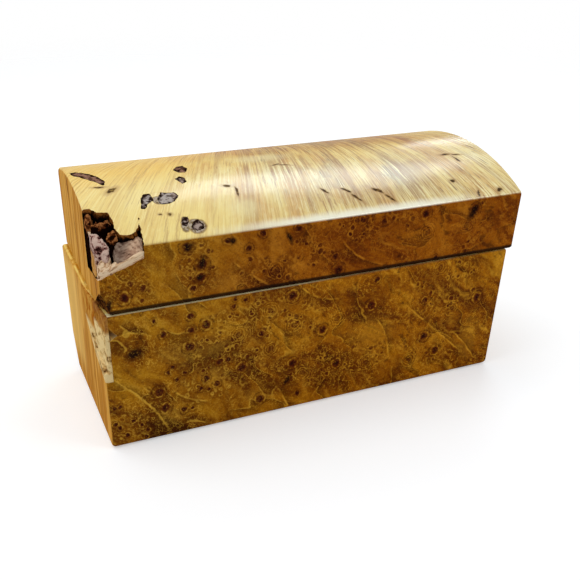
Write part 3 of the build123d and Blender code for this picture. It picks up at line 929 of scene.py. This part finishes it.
def torn(face):
    """Whether a face of the lid belongs to its split corner, its void or a pocket in its top."""
    spot = from_corner(face.calc_center_median())
    on_split = spot.z < split_head and spot.y < split_back
    if on_split and face.normal.x < -0.8 and face.normal.z < -0.2:
        return True
    if not (0.12 < spot.x < torn_right and 0.1 < spot.y < torn_back):
        return False
    depth = lid_top(spot.y) - spot.z
    steep = abs(face.normal.z) < 0.5
    at_void = spot.x < void_right and spot.y < void_back
    above_floor = spot.z > void_floor(spot.x, spot.y) - 0.2
    in_void = at_void and above_floor and depth > 0.05 and (steep or spot.z < highest_floor)
    in_pocket = 0.05 < depth < pocket_depth and (steep or depth > pocket_floor)
    return in_void or in_pocket


# The torn wood's near-black darkest colour is painted shade deep in the void.
dark_fibres = ((138, 84, 34), (60, 30, 10), (8, 4, 3))
pale_fibres = ((236, 208, 172), (200, 158, 118), (96, 56, 34))
torn_wood, torn_shader, skin, spot = bark_finish("torn_wood", dark_fibres, roughness=0.9)
skin.into(torn_shader, "Base Color")
pale_tear, tear_shader, skin, spot = bark_finish("pale_tear", pale_fibres, lean=20, drawn=0.3)
skin.into(tear_shader, "Base Color")
shape = merged("lid_block")
for face in shape.faces:
    face.material_index = torn_dark if torn(face) else sanded
gridded(shape, lambda face: face.material_index == torn_dark, to_frame((0, 0, 0)),
        to_frame((torn_right, torn_back, torn_top)), torn_step)
for face in shape.faces:
    spot = from_corner(face.calc_center_median())
    at_lip = spot.y < lip_back and spot.z > lip_foot and face.normal.z > 0.3
    if face.material_index == torn_dark and at_lip:
        face.material_index = torn_pale
proud = shape.verts.layers.float.new("proud")
for vert in shape.verts:
    raw = [face for face in vert.link_faces if face.material_index != sanded]
    if not raw:
        continue
    spot = from_corner(vert.co)
    rough = crag(spot, 3.0, 31.7) * 0.7 + crag(spot, 1.0, 37.3) * 0.4
    push = sum((face.normal for face in raw), Vector()).normalized() * rough * 0.5
    for normal in [face.normal for face in vert.link_faces if face.material_index == sanded]:
        push -= normal * push.dot(normal)
    vert.co += push * mm
    # Painted shade: the deeper in the void, the darker the torn wood.
    depth = lid_top(spot.y) - spot.z
    if spot.z < lip_foot:
        vert[proud] = 0.42 + rough * 0.5
    elif any(face.material_index == torn_pale for face in raw):
        vert[proud] = 0.5 + rough * 0.5
    else:
        vert[proud] = clamped(0.75 + rough * 0.6 - depth * 0.3)
for edge in shape.edges:
    if len(edge.link_faces) == 2:
        raw = [face.material_index != sanded for face in edge.link_faces]
        edge.smooth = all(raw) or (not any(raw) and edge.calc_face_angle(0) < seam_angle)
lid_shell = finished("lid_shell", shape, "lid", "burl", burl, torn_wood, pale_tear)
even = lid_shell.modifiers.new("even_shading", "WEIGHTED_NORMAL")
even.keep_sharp = True
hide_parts("lid_block")


# ---- The bark in the lid's void ----
# Where bark grew into the log the lid keeps a raw hollow at its front left corner. Lumps of
# bark and pith stand in it, fast to its floor, and one spreads like a fan up its right wall.

crusty = ((212, 182, 166), (146, 98, 88), (34, 10, 8))
fanned = ((226, 190, 158), (178, 138, 112), (66, 40, 30))
corky = ((178, 116, 66), (98, 50, 22), (22, 8, 4))
sawn_amber = colour(206, 148, 66)
flare_grey = colour(170, 176, 184)
pitted, pitted_shader, skin, spot = bark_finish("pitted_bark", crusty, mottling=2.2)
left_side = spot.axis("X").rise(-73.2, -73.8) * spot.axis("Z").rise(67.8, 66.4)
sawn_grain = (spot * (1, 1, 0.2)).noise(1.4, 3.0).rise(0.3, 0.5)
skin.mix(sawn_amber, left_side * sawn_grain * 0.9).into(pitted_shader, "Base Color")
flared, flared_shader, skin, spot = bark_finish("flared_bark", fanned, lean=20, drawn=0.22)
greyed = (spot.axis("X") - (spot.axis("Z") - 68) * 0.6).rise(-62.5, -66.5)
skin.shade(flare_grey, greyed).into(flared_shader, "Base Color")
pith, pith_shader, skin, spot = bark_finish("pith", corky, mottling=1.6)
skin.into(pith_shader, "Base Color")

chunk_faces = 11
lump_from_end = 0.15
lump_from_front = 0.1
lump_under_top = 0.2


def chunk(seed):
    """The faces of a broken chunk: directions, and how far out each lies."""
    noise.seed_set(seed)
    return [(noise.random_unit_vector(), 0.62 + 0.3 * noise.random())
            for face in range(chunk_faces)]


def kept_above(value, low):
    """The value, but pressed smoothly flat where it would pass below that."""
    soft = 0.7
    over = value - low - soft
    return value if over > 0 else low + soft * math.exp(over / soft)


def lump(name, middle, reach, top, slope, depth, seed, finish, boxy, fan=None, node=None,
         lit=30.0, foot=None, sunk=0.6, contrast=0.8):
    """A closed lump whose top has that height and slope, broken by crags of that depth and
    sunk in the void's floor. A fan's fibres spread from a point. It is dark below what's lit."""
    shape = bmesh.new()
    bmesh.ops.create_icosphere(shape, subdivisions=5, radius=1)
    proud = shape.verts.layers.float.new("proud")
    broken_faces = chunk(int(seed * 10))
    for vert in shape.verts:
        way = vert.co.normalized()
        out = Vector([math.copysign(abs(part) ** boxy, part) for part in way])
        if not fan:
            cuts = [far / way.dot(side) for side, far in broken_faces if way.dot(side) > 0.3]
            out *= min([1.0] + cuts)
        right = middle[0] + out.x * reach[0]
        back = middle[1] + out.y * reach[1]
        bed = void_floor(right, back) - sunk
        if foot is not None:
            bed = max(bed, foot)
        crest = top + slope[0] * (right - middle[0]) + slope[1] * (back - middle[1])
        half = (crest - bed) / 2
        spot = Vector((right, back, bed + half + out.z * half))
        rough = crag(spot, 3.2, seed) * 0.5 + crag(spot, 1.0, seed + 7) * 0.55
        if fan:
            turn = math.atan2(spot.z - fan[1], spot.x - fan[0])
            strands = noise.noise(Vector((turn * 34, spot.y * 0.8, seed)))
            strands += noise.noise(Vector((turn * 12, 0, seed)))
            rough = rough * 0.4 + strands * 0.45
        spot += way * rough * depth
        spot.x = kept_above(spot.x, lump_from_end)
        spot.y = kept_above(spot.y, lump_from_front)
        crown = lid_top(spot.y) - lump_under_top
        spot.z = crown - kept_above(crown - spot.z, 0)
        # Painted shade: the lump is darker below what's lit.
        unlit = max(0.0, crest - spot.z - lit)
        vert[proud] = clamped(0.52 + rough * contrast - unlit * 0.5)
        vert.co = to_frame(spot)
    bmesh.ops.remove_doubles(shape, verts=shape.verts, dist=0.005 * mm)
    bmesh.ops.recalc_face_normals(shape, faces=shape.faces)
    piece = finished(name, shape, "lid", "bark", finish)
    if node:
        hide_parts(node)


lump("pitted_lump", (1.6, 6.2), (3.3, 4.0), top=22.0, slope=(0.0, 0.5), depth=0.8,
     seed=3.1, finish=pitted, boxy=0.5, node="left_bark_lump", lit=12.0)
lump("foot_lump", (2.3, 2.0), (2.6, 2.4), top=16.4, slope=(0.3, 0.9), depth=0.5,
     seed=8.7, finish=pale_tear, boxy=0.55, sunk=2.0)
lump("torn_edge", (8.6, 1.1), (7.8, 1.5), top=17.0, slope=(0.36, 0.3), depth=0.4,
     seed=14.2, finish=pale_tear, boxy=0.5, fan=(2.0, 13.0), sunk=3.4)
lump("flare", (10.6, 3.0), (4.9, 3.1), top=20.0, slope=(0.18, 1.0), depth=0.35,
     seed=5.5, finish=flared, boxy=0.65, fan=(15.5, 16.0), node="right_bark_lump", contrast=0.45)
lump("pith_lump", (6.6, 7.4), (2.4, 2.2), top=23.4, slope=(0.1, 0.2), depth=0.6,
     seed=12.4, finish=pith, boxy=0.6, lit=1.8)
lump("back_stone", (4.6, 13.0), (3.2, 2.3), top=26.6, slope=(-0.1, 0.2), depth=0.6,
     seed=17.9, finish=pith, boxy=0.55, node="back_bark_lump", lit=2.6)
lump("pocket_bark", (1.0, 14.8), (1.7, 2.2), top=26.2, slope=(0.1, 0.3), depth=0.6,
     seed=25.1, finish=pith, boxy=0.6, lit=4.0)
lump("ledge", (0.4, 10.6), (0.6, 1.2), top=22.8, slope=(0.2, 0.1), depth=0.4,
     seed=21.3, finish=pale_tear, boxy=0.6, foot=21.6, lit=4.0)


# ---- The pockets of bark ----
# Seven small pockets of grey bark show in the lid's top. They were sanded flush with it, and
# each has shrunk from its wood, which leaves a crack round it. Painted shade darkens each rim.

weathered = ((188, 178, 170), (132, 118, 110), (42, 28, 22))
pocket_brown = colour(214, 170, 148)
grey_bark, grey_shader, skin, spot = bark_finish("grey_bark", weathered, mottling=2.0)
outer = spot.axis("X").rise(-60, -66).more(spot.axis("Y").rise(-2, 2))
browner = outer.more(spot.axis("X").rise(-46.5, -44.5) * 0.4)
skin.shade(pocket_brown, browner).into(grey_shader, "Base Color")

pocket_step = 0.45 * mm
crack_reach = 0.9
pocket_sunk = 0.12
shape = merged("bark_pockets")
low, high = [Vector(corner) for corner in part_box("bark_pockets")]


def on_top(face):
    """Whether a face belongs to the sanded top of a pocket."""
    spot = from_corner(face.calc_center_median())
    return lid_top(spot.y) - spot.z < 0.4 and face.normal.z > 0.7


gridded(shape, on_top, low, high, pocket_step)
proud = shape.verts.layers.float.new("proud")
edges = []
for vert in shape.verts:
    tops = [on_top(face) for face in vert.link_faces]
    if any(tops) and not all(tops):
        edges.append(vert.co.copy())
for vert in shape.verts:
    if all(on_top(face) for face in vert.link_faces):
        inward = min((vert.co - edge).length for edge in edges) / mm
        spot = from_corner(vert.co)
        rough = crag(spot, 2.2, 51.3) * 0.6 + crag(spot, 0.8, 57.9) * 0.4
        # Painted shade: darker near the pocket's rim, in its crack.
        vert[proud] = clamped(0.12 + min(inward, crack_reach) * 0.4 + rough * 0.75)
        vert.co.z -= max(0.02, pocket_sunk - rough * 0.25) * mm
    else:
        vert[proud] = 0.1
patches = finished("bark_patches", shape, "lid", "bark", grey_bark)
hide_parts("bark_pockets")
